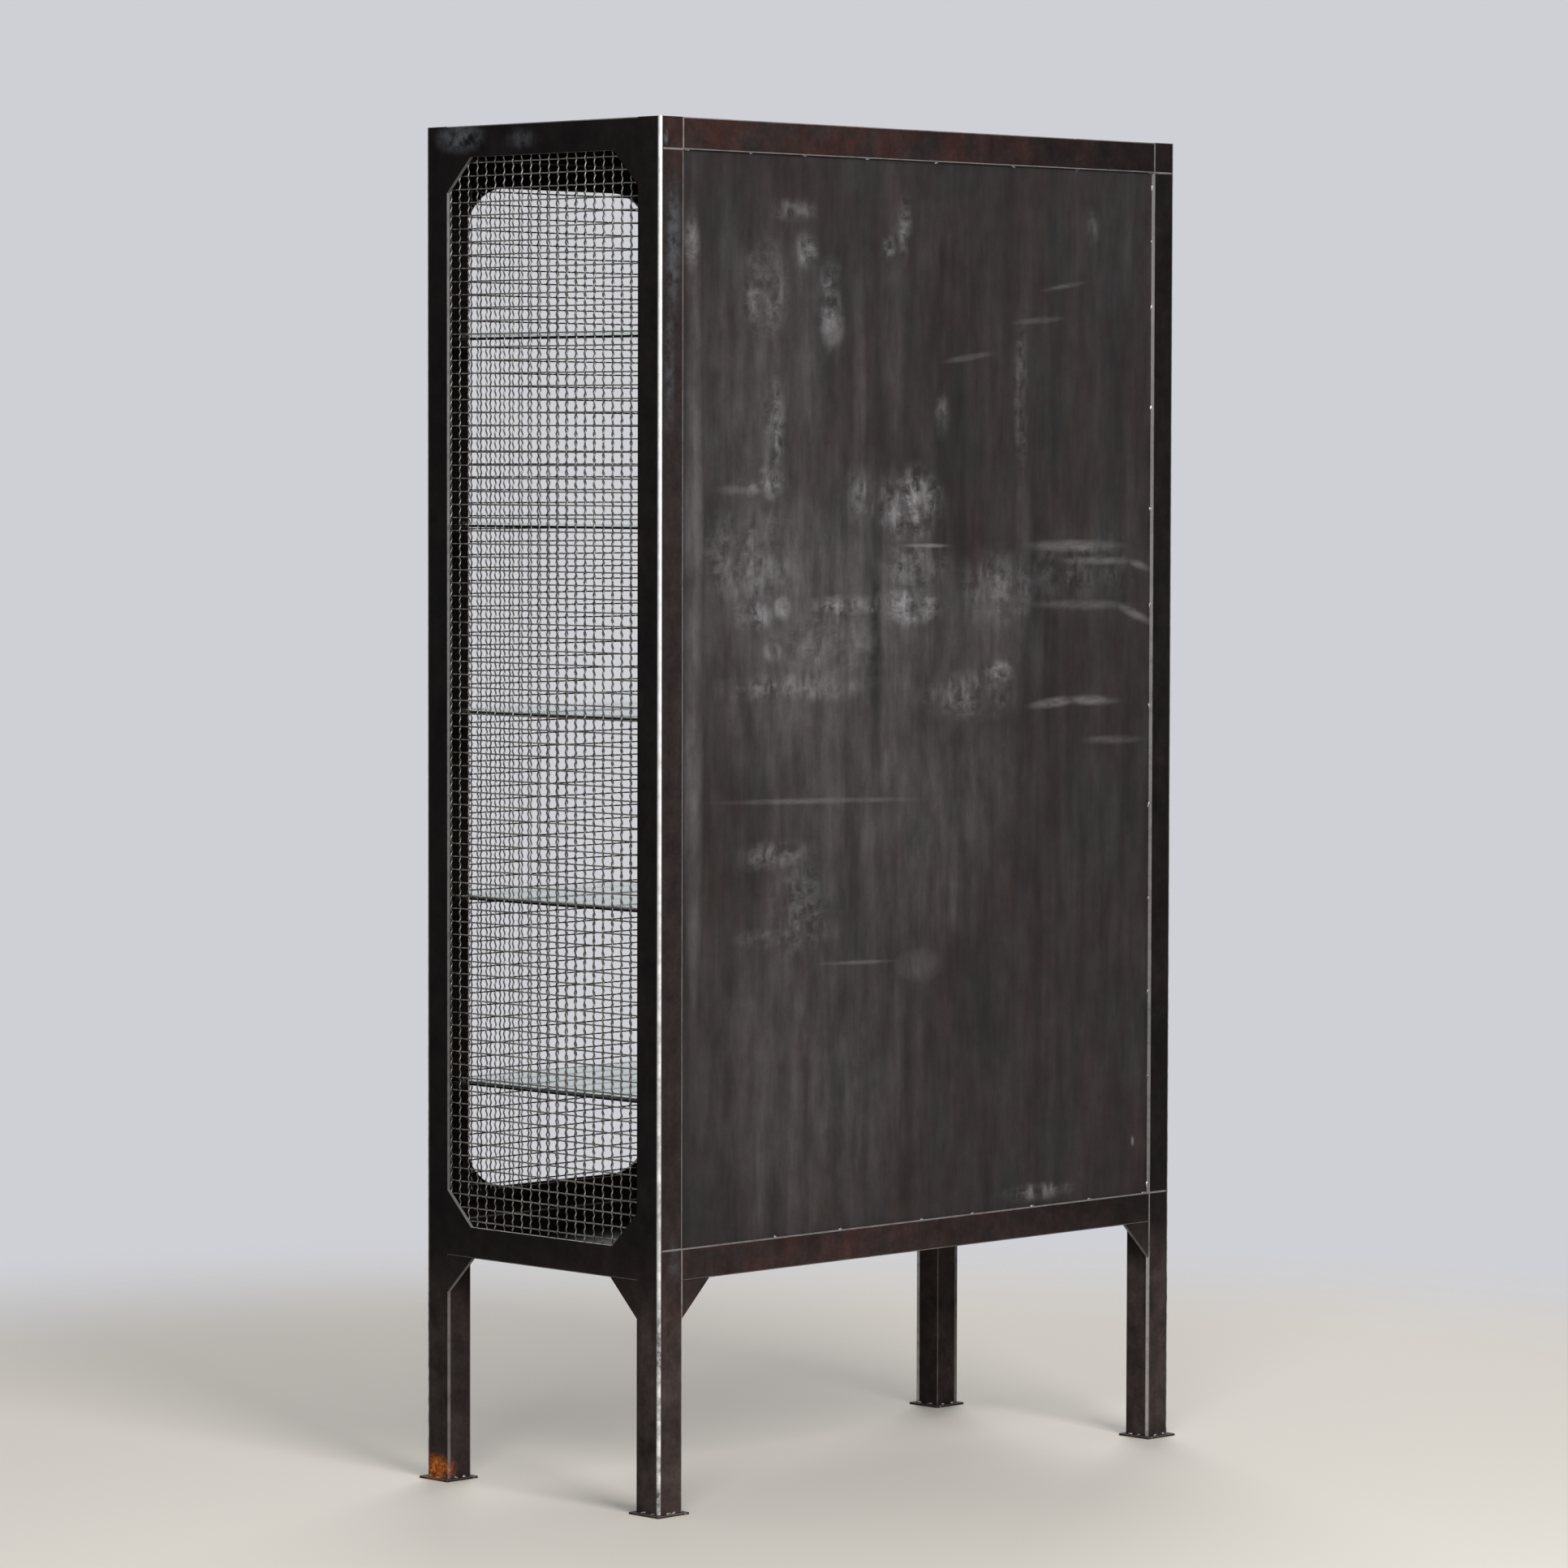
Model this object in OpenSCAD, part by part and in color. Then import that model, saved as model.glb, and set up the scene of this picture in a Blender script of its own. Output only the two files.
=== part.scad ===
// Steel cabinet on four closed legs, with wire mesh sides, two wire mesh
// doors, a plain sheet back and five glass shelves.
// Millimetres, +Z up. The doors are at -Y, the sheet back is at +Y.

/* [Body] */
// Width over the posts
body_w = 960; // [760:5:1200]
// Depth over the posts
body_d = 435; // [340:5:600]
// Height over everything
body_h = 1750; // [1650:5:1900]
// Height of the bottom rails' underside above the floor
leg_h = 295; // [220:1:340]

/* [Steel] */
// Width of the post bars and of each flange of the rails
angle_w = 40; // [35:1:48]
// Thickness of the post bars and of the rails
angle_t = 5; // [4:0.5:6]
// Rounding of the ground corner welds
post_edge_r = 4; // [1:0.5:5]
// Gap between the two bars of a post, filled by the corner weld
weld_gap = 0.5; // [0.3:0.1:1]
// Rounding of the rails' outer corner
rail_edge_r = 2; // [0.5:0.5:4]
// Side of the triangular plates where a leg meets a bottom rail
gusset_w = 48; // [25:1:60]
// Side of the triangular plates in the corners of the side openings
corner_w = 45; // [25:1:60]
// Thickness of the foot plates
foot_t = 3; // [2:0.5:6]
// Reach of the foot plates past the leg on each side
foot_over = 7; // [2:0.5:12]
// Thickness of the back sheet
back_t = 1.5; // [1:0.5:3]
// Thickness of the top sheet
top_t = 2; // [1:0.5:3]
// Thickness of the floor sheet
floor_t = 2; // [1:0.5:4]

/* [Welds] */
// Radius of the beads
bead_r = 2; // [1.5:0.5:3.5]
// Length of a bead
bead_l = 9; // [7:1:20]
// Distance between two tack welds along the back sheet
tack_pitch = 120; // [60:5:200]

/* [Mesh] */
// Thickness of the wires
wire_d = 2; // [1:0.5:3]
// Wanted distance between wires, drawn coarser than the real weave
net_pitch = 70; // [50:1:120]
// Width of the flat bars that hold the side mesh
side_strip_w = 20; // [12:1:30]
// Width of the flat bars that hold the door mesh
door_strip_w = 12; // [8:1:14]
// Thickness of the flat bars that hold the mesh
strip_t = 3; // [2:0.5:4]
// Gap between the ends of two flat bars
strip_gap = 0.5; // [0.3:0.1:2]

/* [Shelves] */
// Height of the lowest shelf's underside above the floor sheet
shelf_low = 218; // [140:1:260]
// Distance from one shelf to the next
shelf_pitch = 240; // [200:5:260]
// Thickness of the glass
glass_t = 4; // [3:1:8]
// Setback of the shelves behind the front face
shelf_setback = 30; // [25:1:80]
// Clearance round the glass
glass_gap = 1; // [0.5:0.5:4]
// Width of the bars under the shelves
bar_w = 20; // [10:1:30]
// Thickness of the bars under the shelves
bar_t = 3; // [2:0.5:8]

/* [Doors] */
// Thickness of the door plates
door_t = 4; // [3:0.5:4.5]
// Gap round each door
door_gap = 2; // [1:0.5:4]
// Width of the stile at the hinges
hinge_stile_w = 23; // [20:1:50]
// Width of the stile at the handle and the bolts
lock_stile_w = 79; // [75:1:100]
// Height of the door's top rail
door_top_w = 32; // [28:1:60]
// Height of the door's bottom rail
door_bottom_w = 35; // [28:1:60]
// Radius of the door opening's corners
window_r = 68; // [30:1:100]
// Reach of the door mesh past the opening
mesh_lap = 14; // [14:1:16]
// Reach of the stop bars past the rails, behind the doors
stop_lap = 10; // [5:1:12]
// Thickness of the stop bars
stop_t = 3; // [2:0.5:4]
// Width of the stop bars
stop_w = 35; // [20:1:40]

/* [Hinges] */
// Outer radius of the hinge barrels
barrel_r = 5; // [4.5:0.5:7]
// Gap between the barrels and the plane of the front faces
barrel_gap = 0.3; // [0.3:0.1:1]
// Radius of the hinge pins
pin_r = 2.5; // [2:0.5:3]
// Radial clearance of each turning or sliding fit
run_gap = 0.05; // [0.02:0.01:0.1]
// Height of one knuckle
knuckle_h = 22; // [15:1:30]
// Gap between two knuckles
knuckle_gap = 0.4; // [0.3:0.1:1]
// Reach of a knuckle's tab over the plate that carries it
tab_reach = 9; // [6:0.5:12]
// Distance from a door's end to the middle of the nearest hinge
hinge_inset = 120; // [90:5:200]

/* [Handle] */
// Height of the handle above the door's lower end
handle_up = 673; // [560:1:760]
// Radius of the spindle
spindle_r = 5; // [4:0.5:6]
// Length of the lever from its axis
lever_l = 92; // [60:1:110]
// Width of the lever
lever_w = 15; // [12:1:20]
// Thickness of the lever
lever_t = 8; // [6:0.5:12]
// Gap between the door's front face and the lever
lever_lift = 32; // [25:1:45]
// Radius of the round plate under the handle
rose_r = 17; // [14:0.5:22]
// Thickness of the round plate under the handle
rose_t = 3; // [2:0.5:4]
// Reach of the latch past the meeting edge of the doors
latch_reach = 20; // [12:1:24]
// Width of the latch
latch_w = 20; // [16:1:26]
// Thickness of the latch
latch_t = 4; // [3:0.5:5]
// Gap between the latch and the back of the doors
latch_gap = 1.5; // [0.5:0.5:2]

/* [Bolts] */
// Radius of the bolt rods
bolt_r = 4; // [3:0.5:4.5]
// Length of the bolt rods
bolt_l = 220; // [200:5:300]
// Setback of a drawn bolt from its end of the door
bolt_setback = 12; // [11:1:20]
// Distance from the meeting edge to the bolt rods
bolt_inset = 39; // [35:1:45]
// Length of a bolt's knob
knob_l = 20; // [12:1:24]
// Height of a bolt guide
guide_h = 12; // [8:1:20]
// Distance between a bolt's guides
guide_pitch = 120; // [90:5:150]

/* [Hidden] */

$fn = 16;
steel_dark = "#262322";
steel_sheet = "#3a3432";
steel_bare = "#8c8a88";
glass_tint = "#cfe0d8";

RIGHT = 1;
LEFT = -1;
FRONT = -1;
BACK = 1;
// Overshoot of a cutting tool
cut = 1;

// The handle reaches further forward than the feet reach back, so the frame
// stands back by half the difference and the origin is the middle of the base.
reach_front = lever_lift + lever_t;
frame_y = (reach_front - foot_over) / 2;

rail_z = leg_h;
rail_top = leg_h + angle_w;
floor_z = leg_h + angle_t;
floor_top = floor_z + floor_t;
top_rail_z = body_h - angle_w;
ceiling_z = body_h - angle_t - top_t;
back_in = angle_t + back_t;
net_t = 2 * wire_d;
mesh_in = angle_t + net_t;
strip_in = mesh_in + strip_t;
post_r = min(post_edge_r, angle_t);
bar_in = angle_t + weld_gap;
rail_r = min(rail_edge_r, angle_t);

// Door leaf, counted from the outer side face inwards and from the front back
leaf_out = angle_w + door_gap;
leaf_in = body_w / 2 - door_gap / 2;
leaf_low = rail_top + door_gap;
leaf_high = top_rail_z - door_gap;
window_out = leaf_out + hinge_stile_w;
window_in = leaf_in - lock_stile_w;
window_low = leaf_low + door_bottom_w;
window_high = leaf_high - door_top_w;
door_mesh_back = door_t + net_t;
door_strip_back = door_mesh_back + strip_t;
hinge_x = angle_w + door_gap / 2;
hinge_y = -barrel_r - barrel_gap;
hinge_zs = [leaf_low + hinge_inset, (leaf_low + leaf_high) / 2, leaf_high - hinge_inset];
pin_over = 2;
pin_lip = 1.5;
pin_head_r = pin_r + pin_lip;

// Handle axis, in the bare part of the lock stile
handle_in = (window_in + mesh_lap + leaf_in) / 2;
handle_z = leaf_low + handle_up;
latch_l = body_w / 2 - handle_in + latch_reach;
latch_front = door_t + latch_gap;
latch_back = latch_front + latch_t;
nut_t = 5;
nut_wall = 3;
nut_w = 2 * (spindle_r + nut_wall);
boss_wall = 4;
boss_r = spindle_r + boss_wall;

// Bolt rods run behind the stop bars
bolt_in = body_w / 2 + bolt_inset;
rod_gap = 1.5;
bolt_y = angle_t + stop_t + rod_gap + bolt_r;
guide_wall = 3;
knob_lip = 0.5;
knob_r = bolt_r + knob_lip;

// Places a piece by its distances from the outer side face and the outer back
// or front face, at one of the four corners
module at_corner(side, end) {
    translate([side * body_w / 2, frame_y + end * body_d / 2, 0])
        mirror([side == RIGHT ? 1 : 0, 0, 0])
            mirror([0, end == BACK ? 1 : 0, 0])
                children();
}

// Places a piece of a door by its distances from the outer side face and the front
module at_front(side) {
    at_corner(side, FRONT) children();
}

// Square with one rounded corner at its origin
module worn_square(w, r) {
    difference() {
        square(w);
        difference() {
            translate([-cut, -cut]) square(r + cut);
            translate([r, r]) circle(r);
        }
    }
}

// Angle profile with its outer corner at the origin
module angle_profile(r) {
    difference() {
        worn_square(angle_w, r);
        translate([angle_t, angle_t]) square(angle_w);
    }
}

// Two flat bars from the foot plate to the top, square to each other
module post(side, end) {
    color(steel_dark)
        at_corner(side, end)
            translate([0, 0, foot_t])
                linear_extrude(body_h - foot_t) {
                    translate([0, bar_in]) square([angle_t, angle_w - bar_in]);
                    translate([bar_in, 0]) square([angle_w - bar_in, angle_t]);
                }
}

// Welds that join the two bars of each post, ground round along its outer corner
module corner_welds() {
    color(steel_bare)
        for (side = [RIGHT, LEFT], end = [FRONT, BACK])
            at_corner(side, end)
                translate([0, 0, foot_t])
                    linear_extrude(body_h - foot_t)
                        difference() {
                            worn_square(bar_in, post_r);
                            translate([angle_t, angle_t]) square(angle_t);
                        }
}

// Angles that close the legs to square tubes
module leg_angles() {
    color(steel_dark)
        for (side = [RIGHT, LEFT], end = [FRONT, BACK])
            at_corner(side, end)
                translate([0, 0, foot_t])
                    linear_extrude(leg_h - foot_t)
                        difference() {
                            translate([angle_t, angle_t]) square(angle_w - angle_t);
                            square(angle_w - angle_t);
                        }
}

module foot(side, end) {
    color(steel_dark)
        at_corner(side, end)
            translate([-foot_over, -foot_over, 0])
                cube([angle_w + 2 * foot_over, angle_w + 2 * foot_over, foot_t]);
}

// Rail from post to post across the width; its flat flange is at the top or the bottom
module long_rail(end, top) {
    color(steel_dark)
        at_corner(LEFT, end)
            translate([angle_w, 0, top ? body_h : rail_z])
                mirror([0, 0, top ? 1 : 0])
                    rotate([90, 0, 90])
                        linear_extrude(body_w - 2 * angle_w)
                            angle_profile(rail_r);
}

// Rail from post to post along a side; its flat flange also fills both corners
module side_rail(side, top) {
    color(steel_dark)
        at_corner(side, FRONT)
            translate([0, 0, top ? body_h : rail_z])
                mirror([0, 0, top ? 1 : 0])
                    union() {
                        translate([0, body_d - angle_w, 0])
                            rotate([90, 0, 0])
                                linear_extrude(body_d - 2 * angle_w)
                                    angle_profile(rail_r);
                        translate([angle_t, angle_t, 0])
                            cube([angle_w - angle_t, body_d - 2 * angle_t, angle_t]);
                    }
}

module triangle_plate(w) {
    linear_extrude(angle_t) polygon([[0, 0], [w, 0], [0, w]]);
}

// Two plates under the rails at each leg, flush with the outer faces
module leg_gussets() {
    color(steel_dark)
        for (side = [RIGHT, LEFT], end = [FRONT, BACK])
            at_corner(side, end)
                translate([0, 0, rail_z]) {
                    translate([angle_w, angle_t, 0])
                        rotate([90, 0, 0])
                            mirror([0, 1, 0])
                                triangle_plate(gusset_w);
                    translate([0, angle_w, 0])
                        rotate([90, 0, 90])
                            mirror([0, 1, 0])
                                triangle_plate(gusset_w);
                }
}

// One plate in each corner of the two side openings, flush with the outer face
module side_corner_plates() {
    color(steel_dark)
        for (side = [RIGHT, LEFT], end = [FRONT, BACK])
            at_corner(side, end)
                translate([0, angle_w, 0])
                    rotate([90, 0, 90]) {
                        translate([0, rail_top, 0])
                            triangle_plate(corner_w);
                        translate([0, top_rail_z, 0])
                            mirror([0, 1, 0])
                                triangle_plate(corner_w);
                    }
}

// Sheet behind the flanges of the back posts and rails
module back_panel() {
    color(steel_sheet)
        at_corner(LEFT, BACK)
            translate([angle_t, angle_t, floor_z])
                cube([body_w - 2 * angle_t, back_t, body_h - angle_t - floor_z]);
}

module flat_sheet(z, t) {
    at_corner(LEFT, BACK)
        translate([angle_t, back_in, z])
            cube([body_w - 2 * angle_t, body_d - angle_t - back_in, t]);
}

module top_panel() {
    color(steel_sheet) flat_sheet(ceiling_z, top_t);
}

module floor_panel() {
    color(steel_sheet) flat_sheet(floor_z, floor_t);
}

// Flat net with its lower left corner at the origin
module net(w, h) {
    columns = max(1, round((w - wire_d) / net_pitch));
    rows = max(1, round((h - wire_d) / net_pitch));
    cell_w = (w - wire_d) / columns;
    cell_h = (h - wire_d) / rows;
    linear_extrude(net_t)
        difference() {
            square([w, h]);
            for (i = [0 : columns - 1], j = [0 : rows - 1])
                translate([wire_d + i * cell_w, wire_d + j * cell_h])
                    square([cell_w - wire_d, cell_h - wire_d]);
        }
}

// Four separate flat bars round the edge of a net
module strip_ring(w, h, strip_w) {
    short_x = strip_w + strip_gap;
    for (x = [0, w - strip_w])
        translate([x, 0, 0]) cube([strip_w, h, strip_t]);
    for (y = [0, h - strip_w])
        translate([short_x, y, 0]) cube([w - 2 * short_x, strip_w, strip_t]);
}

// Places a piece drawn flat against the inside of a side opening
module at_side(side, inset) {
    at_corner(side, BACK)
        translate([inset, back_in, floor_top])
            rotate([90, 0, 90])
                children();
}

side_mesh_w = body_d - angle_t - back_in;
side_mesh_h = ceiling_z - floor_top;

module side_mesh(side) {
    color(steel_bare)
        at_side(side, angle_t) net(side_mesh_w, side_mesh_h);
}

module side_strips(side) {
    color(steel_dark)
        at_side(side, mesh_in) strip_ring(side_mesh_w, side_mesh_h, side_strip_w);
}

function shelf_z(i) = floor_top + shelf_low + (i - 1) * shelf_pitch;

// Flat bars that carry the shelves, from the back sheet to the front posts
module shelf_bars(side) {
    color(steel_dark)
        for (i = [1 : 5])
            at_corner(side, BACK)
                translate([strip_in, back_in, shelf_z(i) - bar_t])
                    cube([bar_w, body_d - angle_t - back_in, bar_t]);
}

module shelf(i) {
    color(glass_tint, 0.4)
        at_corner(LEFT, BACK)
            translate([strip_in + glass_gap, back_in + glass_gap, shelf_z(i)])
                cube([
                    body_w - 2 * (strip_in + glass_gap),
                    body_d - back_in - glass_gap - shelf_setback,
                    glass_t
                ]);
}

// Bead along X in the corner between two faces, tapered to its ends
module bead() {
    intersection() {
        translate([-bead_l / 2, 0, 0])
            rotate([0, 90, 0])
                rotate_extrude()
                    polygon([
                        [0, 0], [bead_r / 2, 0], [bead_r, bead_r],
                        [bead_r, bead_l - bead_r], [bead_r / 2, bead_l], [0, bead_l]
                    ]);
        translate([-bead_l, 0, 0]) cube([2 * bead_l, bead_r + cut, bead_r + cut]);
    }
}

// Tack welds round the back sheet, and beads where the legs stand on their plates
module weld_beads() {
    opening_w = body_w - 2 * angle_w;
    opening_h = top_rail_z - rail_top;
    across = round(opening_w / tack_pitch);
    along = round(opening_h / tack_pitch);
    leg_in = angle_w / 2;
    color(steel_bare) {
        at_corner(LEFT, BACK)
            translate([0, angle_t, 0])
                rotate([90, 0, 0]) {
                    for (i = [0 : across - 1], top = [0, 1])
                        translate([
                            angle_w + (i + 0.5) * opening_w / across,
                            top == 1 ? top_rail_z : rail_top,
                            0
                        ])
                            mirror([0, top, 0]) bead();
                    for (j = [0 : along - 1], far = [0, 1])
                        translate([
                            far == 1 ? body_w - angle_w : angle_w,
                            rail_top + (j + 0.5) * opening_h / along,
                            0
                        ])
                            mirror([far, 0, 0]) rotate([0, 0, 90]) mirror([0, 1, 0]) bead();
                }
        for (side = [RIGHT, LEFT], end = [FRONT, BACK])
            at_corner(side, end)
                translate([0, 0, foot_t]) {
                    translate([leg_in, angle_w, 0]) bead();
                    translate([angle_w, leg_in, 0]) rotate([0, 0, 90]) mirror([0, 1, 0]) bead();
                }
    }
}

// Flat bars behind the front rails that the doors close against
module door_stops() {
    color(steel_dark)
        at_front(LEFT)
            for (z = [rail_top + stop_lap - stop_w, top_rail_z - stop_lap])
                translate([angle_w, angle_t, z])
                    cube([body_w - 2 * angle_w, stop_t, stop_w]);
}

// One knuckle about the hinge axis, with a tab that lies on the plate beside it
module knuckle(z) {
    difference() {
        translate([hinge_x, hinge_y, z])
            union() {
                cylinder(r = barrel_r, h = knuckle_h);
                cube([tab_reach, -hinge_y, knuckle_h]);
            }
        translate([hinge_x, hinge_y, z - cut])
            cylinder(r = pin_r + run_gap, h = knuckle_h + 2 * cut);
    }
}

// The two outer knuckles of each hinge, on the front post
module frame_knuckles(side) {
    step = knuckle_h + knuckle_gap;
    color(steel_dark)
        at_front(side)
            for (z = hinge_zs, k = [-1, 1])
                translate([2 * hinge_x, 0, 0])
                    mirror([1, 0, 0])
                        knuckle(z + k * step - knuckle_h / 2);
}

// The middle knuckle of each hinge, on the door
module door_knuckles(side) {
    color(steel_dark)
        at_front(side)
            for (z = hinge_zs)
                knuckle(z - knuckle_h / 2);
}

module hinge_pins(side) {
    span = 3 * knuckle_h + 2 * knuckle_gap;
    color(steel_bare)
        at_front(side)
            for (z = hinge_zs)
                translate([hinge_x, hinge_y, z - span / 2])
                    union() {
                        translate([0, 0, -pin_over]) cylinder(r = pin_r, h = span + pin_over);
                        translate([0, 0, span]) cylinder(r = pin_head_r, h = pin_over);
                    }
}

// Places a door plate drawn in the front plane, from its front face back
module in_front_plane(side) {
    at_front(side)
        translate([0, door_t, 0])
            rotate([90, 0, 0])
                children();
}

module door_stiles(side) {
    stile_h = leaf_high - leaf_low;
    color(steel_dark)
        in_front_plane(side)
            difference() {
                translate([0, leaf_low, 0]) {
                    translate([leaf_out, 0, 0]) cube([hinge_stile_w, stile_h, door_t]);
                    translate([window_in, 0, 0]) cube([lock_stile_w, stile_h, door_t]);
                }
                if (side == RIGHT)
                    translate([handle_in, handle_z, -cut])
                        cylinder(r = spindle_r + run_gap, h = door_t + 2 * cut);
            }
}

module door_rails(side) {
    color(steel_dark)
        in_front_plane(side) {
            translate([window_out, leaf_low, 0])
                cube([window_in - window_out, door_bottom_w, door_t]);
            translate([window_out, window_high, 0])
                cube([window_in - window_out, door_top_w, door_t]);
        }
}

// Plates that round the four corners of the door opening
module door_corners(side) {
    color(steel_dark)
        in_front_plane(side)
            for (x = [0, 1], z = [0, 1])
                translate([x == 1 ? window_in : window_out, z == 1 ? window_high : window_low, 0])
                    mirror([x, 0, 0])
                        mirror([0, z, 0])
                            linear_extrude(door_t)
                                difference() {
                                    square(window_r);
                                    translate([window_r, window_r]) circle(window_r, $fn = 48);
                                }
}

door_mesh_w = window_in - window_out + 2 * mesh_lap;
door_mesh_h = window_high - window_low + 2 * mesh_lap;

// Places a piece drawn flat against the back of a door
module behind_door(side, back) {
    at_front(side)
        translate([window_out - mesh_lap, back, window_low - mesh_lap])
            rotate([90, 0, 0])
                children();
}

module door_mesh(side) {
    color(steel_bare)
        behind_door(side, door_mesh_back) net(door_mesh_w, door_mesh_h);
}

module door_strips(side) {
    color(steel_dark)
        behind_door(side, door_strip_back) strip_ring(door_mesh_w, door_mesh_h, door_strip_w);
}

// Places a turned piece along the handle's axis, its own Z pointing to the back
module on_spindle(y) {
    at_front(RIGHT)
        translate([handle_in, y, handle_z])
            rotate([-90, 0, 0])
                children();
}

// Lever, boss and spindle in one piece; the lever hangs down when the latch is drawn
module handle() {
    tail = latch_back + nut_t;
    color(steel_bare)
        union() {
            on_spindle(-lever_lift)
                cylinder(r = spindle_r, h = lever_lift + tail);
            on_spindle(-lever_lift)
                cylinder(r = boss_r, h = lever_lift - rose_t - knuckle_gap);
            on_spindle(-lever_lift - lever_t)
                linear_extrude(lever_t)
                    union() {
                        circle(boss_r);
                        translate([-lever_w / 2, 0]) square([lever_w, lever_l - lever_w / 2]);
                        translate([0, lever_l - lever_w / 2]) circle(lever_w / 2);
                    }
        }
}

// Latch plate and its nut behind the door; it points up when drawn
module latch() {
    color(steel_dark) {
        on_spindle(latch_front)
            linear_extrude(latch_t)
                difference() {
                    union() {
                        circle(latch_w / 2);
                        translate([-latch_w / 2, latch_w / 2 - latch_l])
                            square([latch_w, latch_l - latch_w / 2]);
                        translate([0, latch_w / 2 - latch_l]) circle(latch_w / 2);
                    }
                    circle(spindle_r + run_gap);
                }
        on_spindle(latch_back)
            linear_extrude(nut_t)
                difference() {
                    circle(nut_w / sqrt(3), $fn = 6);
                    circle(spindle_r + run_gap, $fn = 16);
                }
    }
}

module handle_rose() {
    color(steel_bare)
        on_spindle(-rose_t)
            difference() {
                cylinder(r = rose_r, h = rose_t);
                translate([0, 0, -cut]) cylinder(r = spindle_r + run_gap, h = rose_t + 2 * cut);
            }
}

// Places a piece along the bolts' common axis on the left door
module on_bolt(z) {
    at_front(RIGHT)
        translate([bolt_in, bolt_y, z])
            children();
}

// Rod and side knob, drawn back inside the door's outline
module bolt(low, knob_z) {
    color(steel_bare)
        union() {
            on_bolt(low) cylinder(r = bolt_r, h = bolt_l);
            on_bolt(knob_z) rotate([0, -90, 0]) cylinder(r = knob_r, h = bolt_r + knob_l);
        }
}

top_bolt_low = leaf_high - bolt_setback - bolt_l;
top_guide_z = leaf_high - bolt_setback - 2 * guide_h;
bottom_bolt_low = leaf_low + bolt_setback;
bottom_guide_z = leaf_low + bolt_setback + 2 * guide_h;

module bolt_top() {
    bolt(top_bolt_low, top_guide_z - guide_pitch / 2);
}

module bolt_bottom() {
    bolt(bottom_bolt_low, bottom_guide_z + guide_pitch / 2);
}

// Drilled blocks on the left door that the rods slide in
module bolt_guides() {
    guide_w = 2 * (bolt_r + guide_wall);
    guide_d = bolt_y + bolt_r + guide_wall - door_t;
    color(steel_dark)
        for (z = [top_guide_z, top_guide_z - guide_pitch, bottom_guide_z, bottom_guide_z + guide_pitch])
            difference() {
                on_bolt(z)
                    translate([-guide_w / 2, door_t - bolt_y, -guide_h / 2])
                        cube([guide_w, guide_d, guide_h]);
                on_bolt(z - guide_h)
                    cylinder(r = bolt_r + run_gap, h = 2 * guide_h);
            }
}

post(RIGHT, FRONT);  // post_front_right
post(LEFT, FRONT);  // post_front_left
post(RIGHT, BACK);  // post_back_right
post(LEFT, BACK);  // post_back_left
corner_welds();
leg_angles();
foot(RIGHT, FRONT);  // foot_front_right
foot(LEFT, FRONT);  // foot_front_left
foot(RIGHT, BACK);  // foot_back_right
foot(LEFT, BACK);  // foot_back_left
long_rail(FRONT, true);  // top_rail_front
long_rail(BACK, true);  // top_rail_back
side_rail(RIGHT, true);  // top_rail_right
side_rail(LEFT, true);  // top_rail_left
long_rail(FRONT, false);  // bottom_rail_front
long_rail(BACK, false);  // bottom_rail_back
side_rail(RIGHT, false);  // bottom_rail_right
side_rail(LEFT, false);  // bottom_rail_left
leg_gussets();
side_corner_plates();
back_panel();
top_panel();
floor_panel();
side_mesh(RIGHT);  // side_mesh_right
side_mesh(LEFT);  // side_mesh_left
side_strips(RIGHT);  // side_strips_right
side_strips(LEFT);  // side_strips_left
shelf_bars(RIGHT);  // shelf_bars_right
shelf_bars(LEFT);  // shelf_bars_left
shelf(1);  // shelf_1
shelf(2);  // shelf_2
shelf(3);  // shelf_3
shelf(4);  // shelf_4
shelf(5);  // shelf_5
weld_beads();
door_stops();
frame_knuckles(RIGHT);  // frame_knuckles_right
frame_knuckles(LEFT);  // frame_knuckles_left
hinge_pins(RIGHT);  // hinge_pins_right
hinge_pins(LEFT);  // hinge_pins_left
door_stiles(RIGHT);  // door_stiles_right
door_stiles(LEFT);  // door_stiles_left
door_rails(RIGHT);  // door_rails_right
door_rails(LEFT);  // door_rails_left
door_corners(RIGHT);  // door_corners_right
door_corners(LEFT);  // door_corners_left
door_mesh(RIGHT);  // door_mesh_right
door_mesh(LEFT);  // door_mesh_left
door_strips(RIGHT);  // door_strips_right
door_strips(LEFT);  // door_strips_left
door_knuckles(RIGHT);  // door_knuckles_right
door_knuckles(LEFT);  // door_knuckles_left
handle();
latch();
handle_rose();
bolt_top();
bolt_bottom();
bolt_guides();
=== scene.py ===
# Steel cabinet with woven wire sides: its finishes, nets, welds and glass,
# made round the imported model, all in metres
import math
import random

import bmesh
import bpy
from mathutils import Matrix, Vector, noise


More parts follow.
